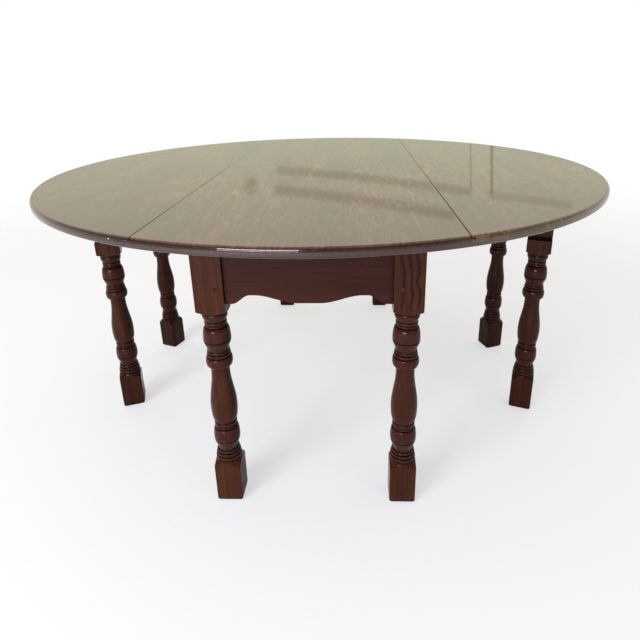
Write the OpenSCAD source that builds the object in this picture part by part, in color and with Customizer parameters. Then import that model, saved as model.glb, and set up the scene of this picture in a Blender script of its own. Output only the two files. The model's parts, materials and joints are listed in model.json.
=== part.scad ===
// Round double-gateleg dining table: a centre board on a four-legged frame, two drop leaves on
// rule joints, and four swinging gate legs on wooden knuckle joints.
// X runs across the leaves, Y along the rule joints, Z up. Left is -X and front is -Y.

/* [Top] */
// Height of the table top above the floor
table_h = 760; // [700:5:790]
// Diameter of the round top with both leaves up
top_d = 1652; // [1620:1:1680]
// Thickness of the top boards
top_t = 21; // [20:1:24]
// Width of the centre board between the two joint lines
centre_w = 617; // [600:1:650]
// Upright part of the rule joint, below the top surface
lip_h = 4; // [3:0.5:5]
// Open seam between centre board and leaf at the top surface
leaf_gap = 1; // [0.8:0.1:1.2]
// Clearance between the round and the cove of the rule joint
cove_gap = 0.5; // [0.4:0.1:0.8]

/* [Frame] */
// Side of the square leg stock
leg_w = 68; // [66:1:70]
// Side of the slightly slimmer square feet
foot_w = 65.5; // [62:0.5:66]
// Distance of a fixed leg's centre from the middle, across the leaves
leg_x = 221; // [212:1:225]
// Distance of a fixed leg's centre from the middle, along the joints
leg_y = 586.5; // [575:0.5:600]
// Thickness of the end aprons
apron_t = 22; // [18:1:25]
// How far an end apron stands behind the leg faces
apron_inset = 8; // [5:1:12]
// Thickness of the side rails
side_rail_t = 20; // [18:1:22]
// Underside of the side rails above the floor
side_rail_z = 578; // [576:1:600]

/* [Gates] */
// Thickness of the fly rails
fly_t = 24; // [22:1:25]
// Underside of the fly rails above the floor
fly_z = 600; // [590:1:620]
// Distance of a gate's pin from the middle, along the joints
pivot_y = 38; // [36:1:45]
// Distance from a gate's pin to the middle of its leg
gate_reach = 453.5; // [446:0.5:456]
// How far the gates stand open
gate_angle = 70; // [0:1:70]
// Gap between a gate leg and the leaf that it carries
gate_gap = 0.5; // [0.3:0.1:1]

/* [Hardware] */
// Length of a table hinge along the joint
hinge_l = 60; // [50:1:76]
// Distance of the outer hinges from the middle hinge
hinge_pitch = 560; // [500:5:600]
// Thickness of a hinge flap
flap_t = 2; // [1.5:0.1:2.2]
// Diameter of the pegs through the tenons
peg_d = 8.6; // [7:0.2:10]

/* [Hidden] */

$fn = 64;
oak = [0.24, 0.11, 0.07];
oak_dark = [0.16, 0.07, 0.05];
oak_end = [0.10, 0.05, 0.03];
brass = [0.55, 0.43, 0.22];
steel = [0.45, 0.44, 0.42];
left = -1;
right = 1;
front = -1;
rear = 1;

// Top and rule joint
under_z = table_h - top_t;      // underside of the boards
barrel_r = 3;                   // hinge barrels lie flush with the underside
axis_x = centre_w / 2;          // hinge line of a leaf
axis_z = under_z + barrel_r;
round_r = table_h - lip_h - axis_z;
cove_r = round_r + cove_gap;
cove_relief = 0.4;              // small step where the cove meets the underside
edge_r = 6;                     // rounding of the upper rim
edge_bevel = 2.4;               // bevel of the lower rim
past = 1;                       // how far a cutter runs past a face

// Legs
half = leg_w / 2;
corner_r = half * sqrt(2) + 0.5;
foot_half = foot_w / 2;
foot_corner_r = foot_half * sqrt(2) + 0.5;
foot_z = 99;                    // where the corners of the square foot begin to fall away
foot_shoulder_z = 119.5;        // where its faces end
foot_neck_z = 122.5;            // where its shoulder meets the rings
block_neck_z = 527;
block_z = 541;                  // where the upper block is fully square
neck_r = 28;                    // turned part at its two blocks
scribe_depth = 1.6;             // scribed lines round the two bulbs
scribe_w = 3.2;
scribes = [[178, 31.4], [455.5, 32]];
leg_face_y = leg_y + half;
leg_gap_y = leg_y - half;       // inner faces of the fixed legs
leg_gap_x = leg_x - half;

// Joinery
apron_y = leg_face_y - apron_inset - apron_t;
tenon_t = 8;
apron_tenon = 35;
apron_low_z = 564;              // lower and upper edge of the apron's tenons
apron_high_z = 724;
// the apron's lower edge: where its flats and slopes end, and how high its flats are
scallop_x = [25, 122, 131, 172];
scallop_z = [558, 577, 556];
scallop_step = 3;
rail_shoulder = 10;             // height of the shoulder below a rail's tenon
rail_top_shoulder = 20;
rail_trim = rail_shoulder + rail_top_shoulder;
side_tenon = 28;
side_rail_x = leg_gap_x + 2.5;
side_out_x = side_rail_x + side_rail_t;
cross_t = 22;
cross_z = 610;
cross_tenon = 10;
peg_r = peg_d / 2;
peg_fit = 0.05;
peg_proud = 0.3;
peg_depth = 42;
peg_heights = [594, 700];
peg_step = [-6, 24];            // pegs of the side rail against those of the apron, in and up
peg_in = 19;                    // from the edge of the leg to the middle of a peg

// Gates
pin_r = 3;
pin_fit = 0.05;
pin_short = 2;                  // a pin ends this far inside its lowest finger
pin_head_r = 5;
pin_head_t = 2.5;
knuckle_r = fly_t / 2;
knuckle_gap = 0.7;
finger_gap = 0.5;
fingers = 5;
fly_top = under_z - 4;
finger_h = (fly_top - fly_z) / fingers;
pivot_x = side_out_x + 2 + knuckle_r;
leg_off = leg_x - pivot_x;      // a closed gate leg lines up with the fixed legs
gate_top = under_z - gate_gap;
notch_z = side_rail_z - 2;
notch_clear = 1.5;              // from the notch to the side rail that it closes over
fly_tenon_t = 10;
fly_tenon = 32;
fly_shoulder = 10;              // height of a fly rail's shoulder above and below its tenon
fly_tenon_h = fly_top - fly_z - 2 * fly_shoulder;
gate_peg_heights = [640, 700];
gate_peg_in = 15;               // from the inner face of the gate leg to the middle of a peg
gate_peg_past = 9;              // how far it runs beyond the tenon
stop_size = [60, 28, 18];
stop_gap = 0.4;

// Hinges and screws
hinge_rows = 5;
row_l = hinge_l / hinge_rows;
row_gap = 0.3;
wire_r = 1.5;
wire_fit = 0.05;
wire_head_r = 2.6;
wire_head_t = 1.2;
plate_from = 3.5;               // plates stay this far off the other flap's barrels
centre_flap_w = 30;
leaf_flap_w = 45;
channel_r = 3.5;
channel_end = 0.8;              // room past each end of a hinge wire
crossing_lift = 0.3;            // room above the leaf flap as the leaf is raised
flap_screw_r = 1.5;
flap_screw_head_r = 3;
flap_screw_l = 12;
flap_screw_pitch = 20;
flap_screw_in = 9;              // from the edge of a flap to its row of screws
rail_screw_r = 2;
rail_screw_head_r = 4;
button_screw_l = 28;
block_screw_l = 34;
block_screw_y = 16;             // screws of a knuckle block, from its middle
block_screw_in = 25;            // and from its upper and lower end
screw_fit = 0.1;
button = [36, 32, 16];
tongue = [30, 8, 8];
apron_button_x = 90;
rail_button_y = 300;
// each button: middle of its rail face as x and y, the turn that points its tongue at the rail,
// and the end apron that it holds, or 0 for a side rail
button_spots = concat(
    [for (end = [front, rear]) for (side = [left, right])
        [side * apron_button_x, end * apron_y, end == rear ? 0 : 180, end]],
    [for (side = [left, right]) for (end = [front, rear])
        [side * side_rail_x, end * rail_button_y, -side * 90, 0]]
);

// ---------- placing ----------

// A piece drawn for the right rear quarter, moved to the quarter named by its two signs
module quarter(side, end) {
    mirror([side == left ? 1 : 0, 0, 0])
        mirror([0, end == front ? 1 : 0, 0])
            children();
}

// A piece drawn with its gate's pin as origin and its fly rail along +Y, swung open
module swung(side, end) {
    quarter(side, end)
        translate([pivot_x, pivot_y, 0])
            rotate([0, 0, -gate_angle])
                children();
}

// A hinge piece drawn on the origin with its pin along Y, the leaf towards +X
module on_hinge(side, place) {
    quarter(side, rear)
        translate([axis_x, place * hinge_pitch, axis_z])
            children();
}

// ---------- shared shapes ----------

function ease(t) = (1 - cos(180 * t)) / 2;

// Points of a turned outline, as [radius, height], from z0 up to z1
function blend(z0, r0, z1, r1, n = 8) =
    [for (i = [0:n]) [r0 + (r1 - r0) * ease(i / n), z0 + (z1 - z0) * i / n]];
function bead(z0, z1, r0, r1, n = 10) =
    [for (i = [0:n]) [r0 + (r1 - r0) * sin(180 * i / n), z0 + (z1 - z0) * (1 - cos(180 * i / n)) / 2]];
// The lower half and the upper half of a bulb: full in the middle, falling away at its end
function rise(z0, r0, z1, r1, n = 8) =
    [for (i = [0:n]) [r0 + (r1 - r0) * sin(90 * i / n), z0 + (z1 - z0) * (1 - cos(90 * i / n))]];
function fall(z0, r0, z1, r1, n = 8) =
    [for (i = [0:n]) [r1 + (r0 - r1) * cos(90 * i / n), z0 + (z1 - z0) * sin(90 * i / n)]];

spindle_outline = concat(
    [[0, foot_z], [neck_r, foot_z], [neck_r, foot_neck_z - 1]],
    // three rings that step in from the foot
    bead(foot_neck_z, 132, 30.5, 32, 8),
    bead(132.5, 141.5, 28.8, 30.2, 6),
    bead(142, 150.5, 26.6, 28.2, 6),
    // lower bulb and two rings
    blend(151.5, 25.2, 184, 32.2),
    fall(187, 32.2, 213, 27.4),
    bead(214, 219.5, 26.2, 27.2, 6),
    bead(220.5, 230.5, 26, 27.7, 6),
    // long vase
    [[25.4, 231.5]],
    rise(233, 25.4, 274, 32.3),
    blend(276, 32.3, 370, 22.2, 14),
    [[22.2, 384], [24.6, 385]],
    // bell collar and two rings
    rise(385.5, 25, 400, 31.6, 6),
    fall(400, 31.6, 412.5, 28.2, 6),
    bead(413.5, 421, 27.2, 28.3, 6),
    bead(422, 429, 25.6, 27, 6),
    // upper bulb and two rings
    blend(430, 25.2, 457, 32.3),
    fall(461, 32.3, 491, 25.4),
    bead(491.5, 497, 24.8, 25.9, 6),
    bead(498, 506, 24.6, 26.1, 6),
    // flared ring under the block
    blend(507, 25.4, 519, 29.3, 6),
    [[29.3, 524.5], [neck_r, block_neck_z], [neck_r, block_z], [0, block_z]]
);

// Lathe-cut shoulder of the foot: the corners of the square fall away to the spindle
foot_outline = concat(
    [[0, 0], [foot_corner_r, 0]],
    blend(foot_z, foot_corner_r, foot_shoulder_z, foot_half - 0.5, 8),
    [[neck_r, foot_neck_z], [0, foot_neck_z]]
);

function block_outline(top_z) =
    concat(
        [[0, block_neck_z]],
        blend(block_neck_z, 29.3, block_z, corner_r, 8),
        [[corner_r, top_z], [0, top_z]]
    );

module square_post(w, z0, z1) {
    translate([-w / 2, -w / 2, z0])
        cube([w, w, z1 - z0]);
}

// V-grooves scribed round the bulbs
module scribe_cuts() {
    for (scribe = scribes)
        rotate_extrude()
            polygon([
                [scribe[1] - scribe_depth, scribe[0]],
                [scribe[1] + past, scribe[0] - scribe_w / 2 - past],
                [scribe[1] + past, scribe[0] + scribe_w / 2 + past]
            ]);
}

module turned_leg(top_z) {
    difference() {
        rotate_extrude()
            polygon(spindle_outline);
        scribe_cuts();
    }
    intersection() {
        square_post(foot_w, 0, foot_neck_z);
        rotate_extrude()
            polygon(foot_outline);
    }
    intersection() {
        square_post(leg_w, block_neck_z, top_z);
        rotate_extrude()
            polygon(block_outline(top_z));
    }
}

// The whole round top in one piece: rounded upper rim, small bevel below
module top_disc() {
    r = top_d / 2;
    translate([0, 0, under_z])
        rotate_extrude($fn = 180) {
            polygon([
                [0, 0],
                [r - edge_bevel, 0],
                [r, edge_bevel],
                [r, top_t - edge_r],
                [r - edge_r, top_t],
                [0, top_t]
            ]);
            translate([r - edge_r, top_t - edge_r])
                circle(edge_r);
        }
}

// A bar of the given radius along Y
module bar_y(r, l) {
    rotate([90, 0, 0])
        cylinder(r = r, h = l, center = true);
}

// A countersunk screw pointing up, its head flush with z = 0
module screw(r, head_r, l) {
    cylinder(r1 = head_r, r2 = r, h = head_r - r);
    cylinder(r = r, h = l);
}

// A straight hole in wood for the shank of a screw
module screw_hole(r, l) {
    cylinder(r = r + screw_fit, h = l);
}

// ---------- top ----------

module hinge_cuts() {
    for (place = [-1:1])
        on_hinge(right, place)
            children();
}

// Beds of the centre flaps, channels of the barrels and crossings of the leaf flaps
module centre_hinge_bed() {
    bed_l = hinge_l + 2 * (wire_head_t + channel_end);
    translate([-centre_flap_w, -hinge_l / 2, -barrel_r - past])
        cube([centre_flap_w, hinge_l, flap_t + past]);
    bar_y(channel_r, bed_l);
    translate([-channel_r, -bed_l / 2, -barrel_r - past])
        cube([2 * channel_r, bed_l, barrel_r + past]);
    translate([0, -hinge_l / 2 - crossing_lift, -barrel_r - past])
        cube([cove_r + past, hinge_l + 2 * crossing_lift, barrel_r + crossing_lift + past]);
    for (i = [-1:1])
        translate([-centre_flap_w + flap_screw_in, i * flap_screw_pitch, -barrel_r])
            screw_hole(flap_screw_r, flap_screw_l);
}

module leaf_hinge_bed() {
    translate([0, -hinge_l / 2, -barrel_r - past])
        cube([leaf_flap_w, hinge_l, flap_t + past]);
    for (i = [-1:1])
        translate([leaf_flap_w - flap_screw_in, i * flap_screw_pitch, -barrel_r])
            screw_hole(flap_screw_r, flap_screw_l);
}

// A cross-section of the top, drawn from the underside up, run along the joints
module along_joints() {
    translate([0, top_d / 2, under_z])
        rotate([90, 0, 0])
            linear_extrude(top_d)
                children();
}

// Cross-section of the centre board at one of its joints, right half
module round_section() {
    square([axis_x, top_t]);
    square([axis_x + round_r, barrel_r]);
    intersection() {
        translate([axis_x, barrel_r])
            circle(round_r);
        translate([0, barrel_r])
            square([axis_x + round_r, round_r]);
    }
}

module centre_board() {
    color(oak)
        difference() {
            intersection() {
                top_disc();
                along_joints() {
                    round_section();
                    mirror([1, 0])
                        round_section();
                }
            }
            for (side = [left, right])
                quarter(side, rear)
                    hinge_cuts()
                        centre_hinge_bed();
            for (spot = button_spots)
                at_button(spot)
                    translate([0, 0, -button[2]])
                        screw_hole(rail_screw_r, button_screw_l);
        }
}

// Cross-section of a leaf at its joint, right half
module cove_section() {
    difference() {
        translate([axis_x + leaf_gap, 0])
            square([top_d / 2, top_t]);
        translate([axis_x, barrel_r])
            circle(cove_r);
        square([axis_x + cove_r + cove_relief, barrel_r]);
    }
}

module leaf(side) {
    color(oak)
        quarter(side, rear)
            difference() {
                intersection() {
                    top_disc();
                    along_joints()
                        cove_section();
                }
                hinge_cuts()
                    leaf_hinge_bed();
            }
}

// Blocks glued under a leaf, where its open gates come to rest
module leaf_stops(side) {
    color(oak_dark)
        for (end = [front, rear])
            swung(side, end)
                translate([leg_off + half + stop_gap, gate_reach - stop_size[0] / 2, under_z - stop_size[2]])
                    cube([stop_size[1], stop_size[0], stop_size[2]]);
}

// ---------- fixed frame ----------

// Peg holes of a fixed leg: through the end face for the apron, through the side for the rail
module frame_peg(fit, proud) {
    for (z = peg_heights) {
        translate([-half + peg_in, half + proud, z])
            rotate([90, 0, 0])
                cylinder(r = peg_r + fit, h = peg_depth + proud);
        translate([half + proud, -half + peg_in + peg_step[0], z + peg_step[1]])
            rotate([0, -90, 0])
                cylinder(r = peg_r + fit, h = peg_depth + proud);
    }
}

module end_mortise() {
    translate([-half - past, apron_y - leg_y + (apron_t - tenon_t) / 2, apron_low_z])
        cube([apron_tenon + past, tenon_t, apron_high_z - apron_low_z]);
}

module side_mortise() {
    translate([side_rail_x - leg_x + (side_rail_t - tenon_t) / 2, -half - past, side_rail_z + rail_shoulder])
        cube([tenon_t, side_tenon + past, under_z - side_rail_z - rail_trim]);
}

module fixed_leg(side, end) {
    color(oak)
        quarter(side, end)
            translate([leg_x, leg_y, 0])
                difference() {
                    turned_leg(under_z);
                    end_mortise();
                    side_mortise();
                    frame_peg(peg_fit, past);
                }
}

// Height of the apron's scalloped edge at a distance x from its middle
function scallop(x) =
    x < scallop_x[0] ? scallop_z[0]
    : x < scallop_x[1] ? scallop_z[0] + (scallop_z[1] - scallop_z[0])
        * ease((x - scallop_x[0]) / (scallop_x[1] - scallop_x[0]))
    : x < scallop_x[2] ? scallop_z[1]
    : x < scallop_x[3] ? scallop_z[1] + (scallop_z[2] - scallop_z[1])
        * ease((x - scallop_x[2]) / (scallop_x[3] - scallop_x[2]))
    : scallop_z[2];

module end_apron(end) {
    steps = [for (x = [0:scallop_step:leg_gap_x]) x];
    color(oak_dark)
        quarter(right, end)
            difference() {
                union() {
                    translate([0, apron_y + apron_t, 0])
                        rotate([90, 0, 0])
                            linear_extrude(apron_t)
                                polygon(concat(
                                    [[-leg_gap_x, under_z]],
                                    [[-leg_gap_x, scallop_z[2]]],
                                    [for (i = [len(steps) - 1:-1:1]) [-steps[i], scallop(steps[i])]],
                                    [for (x = steps) [x, scallop(x)]],
                                    [[leg_gap_x, scallop_z[2]]],
                                    [[leg_gap_x, under_z]]
                                ));
                    for (side = [left, right])
                        quarter(side, rear)
                            translate([leg_gap_x - past, apron_y + (apron_t - tenon_t) / 2, apron_low_z])
                                cube([past + apron_tenon, tenon_t, apron_high_z - apron_low_z]);
                }
                for (side = [left, right])
                    quarter(side, rear)
                        translate([leg_x, leg_y, 0])
                            frame_peg(peg_fit, past);
                for (spot = button_spots)
                    if (spot[3] == end)
                        quarter(right, end)
                            at_button(spot)
                                button_slot();
            }
}

module side_rail(side) {
    long = leg_gap_y + side_tenon;
    color(oak_dark)
        difference() {
            quarter(side, rear)
                union() {
                    translate([side_rail_x, -leg_gap_y, side_rail_z])
                        cube([side_rail_t, 2 * leg_gap_y, under_z - side_rail_z]);
                    translate([side_rail_x + (side_rail_t - tenon_t) / 2, -long, side_rail_z + rail_shoulder])
                        cube([tenon_t, 2 * long, under_z - side_rail_z - rail_trim]);
                }
            for (end = [front, rear])
                quarter(side, end)
                    translate([leg_x, leg_y, 0])
                        frame_peg(peg_fit, past);
            quarter(side, rear) {
                translate([side_rail_x - past, -tenon_t / 2, cross_z + rail_shoulder])
                    cube([cross_tenon + past, tenon_t, under_z - cross_z - rail_trim]);
                knuckle_screw_set()
                    screw(rail_screw_r + screw_fit, rail_screw_head_r + screw_fit, block_screw_l);
            }
            for (spot = button_spots)
                if (spot[3] == 0)
                    at_button(spot)
                        button_slot();
        }
}

// Bearer across the middle of the frame, tenoned into both side rails
module cross_rail() {
    color(oak_dark) {
        translate([-side_rail_x, -cross_t / 2, cross_z])
            cube([2 * side_rail_x, cross_t, under_z - cross_z]);
        translate([-side_rail_x - cross_tenon, -tenon_t / 2, cross_z + rail_shoulder])
            cube([2 * (side_rail_x + cross_tenon), tenon_t, under_z - cross_z - rail_trim]);
    }
}

module frame_pegs() {
    color(oak_end)
        for (side = [left, right])
            for (end = [front, rear])
                quarter(side, end)
                    translate([leg_x, leg_y, 0])
                        frame_peg(0, peg_proud);
}

module at_button(spot) {
    translate([spot[0], spot[1], under_z])
        rotate([0, 0, spot[2]])
            translate([0, -button[1] / 2, 0])
                children();
}

// Slot in the rail for a button's tongue, with room below it
module button_slot() {
    translate([-tongue[0] / 2 - 1, button[1] / 2 - past, -button[2] - 2])
        cube([tongue[0] + 2, tongue[1] + 1 + past, tongue[2] + 2]);
}

module top_buttons() {
    color(oak_end)
        for (spot = button_spots)
            at_button(spot)
                difference() {
                    union() {
                        translate([-button[0] / 2, -button[1] / 2, -button[2]])
                            cube(button);
                        translate([-tongue[0] / 2, button[1] / 2 - past, -button[2]])
                            cube([tongue[0], tongue[1] + past, tongue[2]]);
                    }
                    translate([0, 0, -button[2]])
                        screw(rail_screw_r, rail_screw_head_r, button_screw_l);
                }
}

module button_screws() {
    color(steel)
        for (spot = button_spots)
            at_button(spot)
                translate([0, 0, -button[2]])
                    screw(rail_screw_r, rail_screw_head_r, button_screw_l);
}

// ---------- knuckles and gates ----------

function finger_low(k) = fly_z + k * finger_h;

// One finger of a knuckle joint about the pin at the origin, reaching back to its rail along +Y
module finger(k) {
    low = finger_low(k) + (k > 0 ? finger_gap / 2 : 0);
    high = finger_low(k + 1) - (k < fingers - 1 ? finger_gap / 2 : 0);
    translate([0, 0, low]) {
        cylinder(r = knuckle_r, h = high - low);
        translate([-knuckle_r, 0, 0])
            cube([fly_t, knuckle_r + knuckle_gap + past, high - low]);
    }
}

module pin_bore() {
    translate([0, 0, fly_z - past])
        cylinder(r = pin_r + pin_fit, h = fly_top - fly_z + 2 * past);
}

module knuckle_screw_set() {
    for (y = [-block_screw_y, block_screw_y])
        for (z = [fly_z + block_screw_in, fly_top - block_screw_in])
            translate([side_rail_x, y, z])
                rotate([0, 90, 0])
                    children();
}

module knuckle_block(side) {
    body_y = pivot_y - knuckle_r - knuckle_gap;
    color(oak_dark)
        quarter(side, rear)
            difference() {
                union() {
                    translate([side_out_x, -body_y, fly_z])
                        cube([pivot_x + knuckle_r - side_out_x, 2 * body_y, fly_top - fly_z]);
                    for (end = [front, rear])
                        quarter(right, end)
                            translate([pivot_x, pivot_y, 0])
                                mirror([0, 1, 0])
                                    for (k = [0:2:fingers - 1])
                                        finger(k);
                }
                for (end = [front, rear])
                    quarter(right, end)
                        translate([pivot_x, pivot_y, 0])
                            pin_bore();
                knuckle_screw_set()
                    cylinder(r = rail_screw_r + screw_fit, h = block_screw_l);
            }
}

module knuckle_block_screws() {
    color(steel)
        for (side = [left, right])
            quarter(side, rear)
                knuckle_screw_set()
                    screw(rail_screw_r, rail_screw_head_r, block_screw_l);
}

module knuckle_pin(side, end) {
    color(steel)
        quarter(side, end)
            translate([pivot_x, pivot_y, 0]) {
                translate([0, 0, fly_z + pin_short])
                    cylinder(r = pin_r, h = fly_top - fly_z - pin_short);
                translate([0, 0, fly_top])
                    cylinder(r = pin_head_r, h = pin_head_t);
            }
}

module fly_rail(side, end) {
    rail_from = knuckle_r + knuckle_gap;
    rail_to = gate_reach - half;
    color(oak_dark)
        swung(side, end)
            difference() {
                union() {
                    translate([-knuckle_r, rail_from, fly_z])
                        cube([fly_t, rail_to - rail_from, fly_top - fly_z]);
                    translate([-fly_tenon_t / 2, rail_from, fly_z + fly_shoulder])
                        cube([fly_tenon_t, rail_to + fly_tenon - rail_from, fly_tenon_h]);
                    for (k = [1:2:fingers - 2])
                        finger(k);
                }
                pin_bore();
                gate_peg(peg_fit, past);
            }
}

// Pegs of a gate, square to its fly rail, through the tenon and into the leg's inner side
module gate_peg(fit, proud) {
    for (z = gate_peg_heights)
        translate([leg_off + half + proud, gate_reach - half + gate_peg_in, z])
            rotate([0, -90, 0])
                cylinder(r = peg_r + fit, h = leg_off + half + gate_peg_past + proud);
}

module gate_leg(side, end) {
    color(oak)
        swung(side, end)
            difference() {
                translate([leg_off, gate_reach, 0])
                    turned_leg(gate_top);
                // notch that closes over the side rail
                translate([leg_off - half - past, gate_reach - half - past, notch_z])
                    cube([side_out_x + notch_clear - leg_gap_x + past, leg_w + 2 * past, leg_w * 4]);
                translate([-fly_tenon_t / 2, gate_reach - half - past, fly_z + fly_shoulder])
                    cube([fly_tenon_t, fly_tenon + past, fly_tenon_h]);
                gate_peg(peg_fit, past);
            }
}

module gate_pegs(side, end) {
    color(oak_end)
        swung(side, end)
            gate_peg(0, peg_proud);
}

// ---------- table hinges ----------

// The barrels of the rows that a flap owns, each tied to its plate
module barrels(rows) {
    for (k = rows)
        translate([0, (k + 0.5) * row_l - hinge_l / 2, 0])
            bar_y(barrel_r, row_l - row_gap);
}

module plate(from, to, rows) {
    // the full plate, clear of the other flap's barrels
    translate([plate_from, -hinge_l / 2, -barrel_r])
        cube([to - plate_from, hinge_l, flap_t]);
    // its tabs under the flap's own barrels
    for (k = rows)
        translate([from, k * row_l - hinge_l / 2 + row_gap / 2, -barrel_r])
            cube([plate_from - from + past, row_l - row_gap, flap_t]);
}

module flap(width, rows) {
    difference() {
        union() {
            plate(0, width, rows);
            barrels(rows);
        }
        bar_y(wire_r + wire_fit, hinge_l + 2 * past);
        for (i = [-1:1])
            translate([width - flap_screw_in, i * flap_screw_pitch, -barrel_r])
                screw(flap_screw_r, flap_screw_head_r, flap_screw_l);
    }
}

module centre_flap(side, place) {
    color(brass)
        on_hinge(side, place)
            mirror([1, 0, 0])
                flap(centre_flap_w, [0:2:hinge_rows - 1]);
}

module leaf_flap(side, place) {
    color(brass)
        on_hinge(side, place)
            flap(leaf_flap_w, [1:2:hinge_rows - 2]);
}

// Hinge wire with riveted ends
module hinge_pin(side, place) {
    color(steel)
        on_hinge(side, place) {
            bar_y(wire_r, hinge_l + 2 * wire_head_t - row_gap);
            for (end = [front, rear])
                translate([0, end * (hinge_l - row_gap + wire_head_t) / 2, 0])
                    bar_y(wire_head_r, wire_head_t);
        }
}

module flap_screws(side, x) {
    color(brass)
        for (place = [-1:1])
            on_hinge(side, place)
                for (i = [-1:1])
                    translate([x, i * flap_screw_pitch, -barrel_r])
                        screw(flap_screw_r, flap_screw_head_r, flap_screw_l);
}

module centre_flap_screws() {
    for (side = [left, right])
        flap_screws(side, -centre_flap_w + flap_screw_in);
}

// ---------- the parts ----------

centre_board();
leaf(left);  // left_leaf
leaf(right);  // right_leaf
fixed_leg(left, front);  // leg_front_left
fixed_leg(right, front);  // leg_front_right
fixed_leg(left, rear);  // leg_rear_left
fixed_leg(right, rear);  // leg_rear_right
end_apron(front);  // end_apron_front
end_apron(rear);  // end_apron_rear
side_rail(left);  // side_rail_left
side_rail(right);  // side_rail_right
cross_rail();
frame_pegs();
top_buttons();
button_screws();
knuckle_block(left);  // knuckle_block_left
knuckle_block(right);  // knuckle_block_right
knuckle_block_screws();
knuckle_pin(left, front);  // knuckle_pin_front_left
knuckle_pin(right, front);  // knuckle_pin_front_right
knuckle_pin(left, rear);  // knuckle_pin_rear_left
knuckle_pin(right, rear);  // knuckle_pin_rear_right
gate_leg(left, front);  // gate_leg_front_left
gate_leg(right, front);  // gate_leg_front_right
gate_leg(left, rear);  // gate_leg_rear_left
gate_leg(right, rear);  // gate_leg_rear_right
fly_rail(left, front);  // fly_rail_front_left
fly_rail(right, front);  // fly_rail_front_right
fly_rail(left, rear);  // fly_rail_rear_left
fly_rail(right, rear);  // fly_rail_rear_right
gate_pegs(left, front);  // gate_pegs_front_left
gate_pegs(right, front);  // gate_pegs_front_right
gate_pegs(left, rear);  // gate_pegs_rear_left
gate_pegs(right, rear);  // gate_pegs_rear_right
centre_flap(left, front);  // centre_flap_front_left
centre_flap(left, 0);  // centre_flap_middle_left
centre_flap(left, rear);  // centre_flap_rear_left
centre_flap(right, front);  // centre_flap_front_right
centre_flap(right, 0);  // centre_flap_middle_right
centre_flap(right, rear);  // centre_flap_rear_right
leaf_flap(left, front);  // leaf_flap_front_left
leaf_flap(left, 0);  // leaf_flap_middle_left
leaf_flap(left, rear);  // leaf_flap_rear_left
leaf_flap(right, front);  // leaf_flap_front_right
leaf_flap(right, 0);  // leaf_flap_middle_right
leaf_flap(right, rear);  // leaf_flap_rear_right
hinge_pin(left, front);  // hinge_pin_front_left
hinge_pin(left, 0);  // hinge_pin_middle_left
hinge_pin(left, rear);  // hinge_pin_rear_left
hinge_pin(right, front);  // hinge_pin_front_right
hinge_pin(right, 0);  // hinge_pin_middle_right
hinge_pin(right, rear);  // hinge_pin_rear_right
centre_flap_screws();
flap_screws(left, leaf_flap_w - flap_screw_in);  // left_leaf_flap_screws
flap_screws(right, leaf_flap_w - flap_screw_in);  // right_leaf_flap_screws
leaf_stops(left);  // left_leaf_stops
leaf_stops(right);  // right_leaf_stops
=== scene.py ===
"""Looks of the gateleg table: materials, finer meshes for the top and the legs, floor, lights and camera."""
import json
import math

import bmesh
import bpy
from mathutils import Matrix, Vector


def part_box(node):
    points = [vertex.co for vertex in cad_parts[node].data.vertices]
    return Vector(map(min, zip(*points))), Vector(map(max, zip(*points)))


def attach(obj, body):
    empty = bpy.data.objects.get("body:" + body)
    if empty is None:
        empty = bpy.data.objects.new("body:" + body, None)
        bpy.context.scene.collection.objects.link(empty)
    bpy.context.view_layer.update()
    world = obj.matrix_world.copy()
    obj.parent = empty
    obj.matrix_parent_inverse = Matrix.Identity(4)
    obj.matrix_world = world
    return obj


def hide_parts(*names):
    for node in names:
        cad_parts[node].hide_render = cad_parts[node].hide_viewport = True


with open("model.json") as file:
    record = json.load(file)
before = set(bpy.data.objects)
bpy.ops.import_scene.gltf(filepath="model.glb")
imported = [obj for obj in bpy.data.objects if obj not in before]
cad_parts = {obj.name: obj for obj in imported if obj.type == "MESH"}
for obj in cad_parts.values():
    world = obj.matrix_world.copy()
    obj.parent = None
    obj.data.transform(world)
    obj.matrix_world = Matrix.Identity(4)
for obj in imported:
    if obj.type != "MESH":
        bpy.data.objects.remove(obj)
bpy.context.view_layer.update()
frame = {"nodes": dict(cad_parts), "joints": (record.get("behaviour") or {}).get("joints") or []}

IMAGE_SIZE = 640
SIDES = {"left": -1, "right": 1}
ENDS = {"front": -1, "rear": 1}
GATE_TURN = math.radians(70)


# ---------- material graphs ----------

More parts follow.
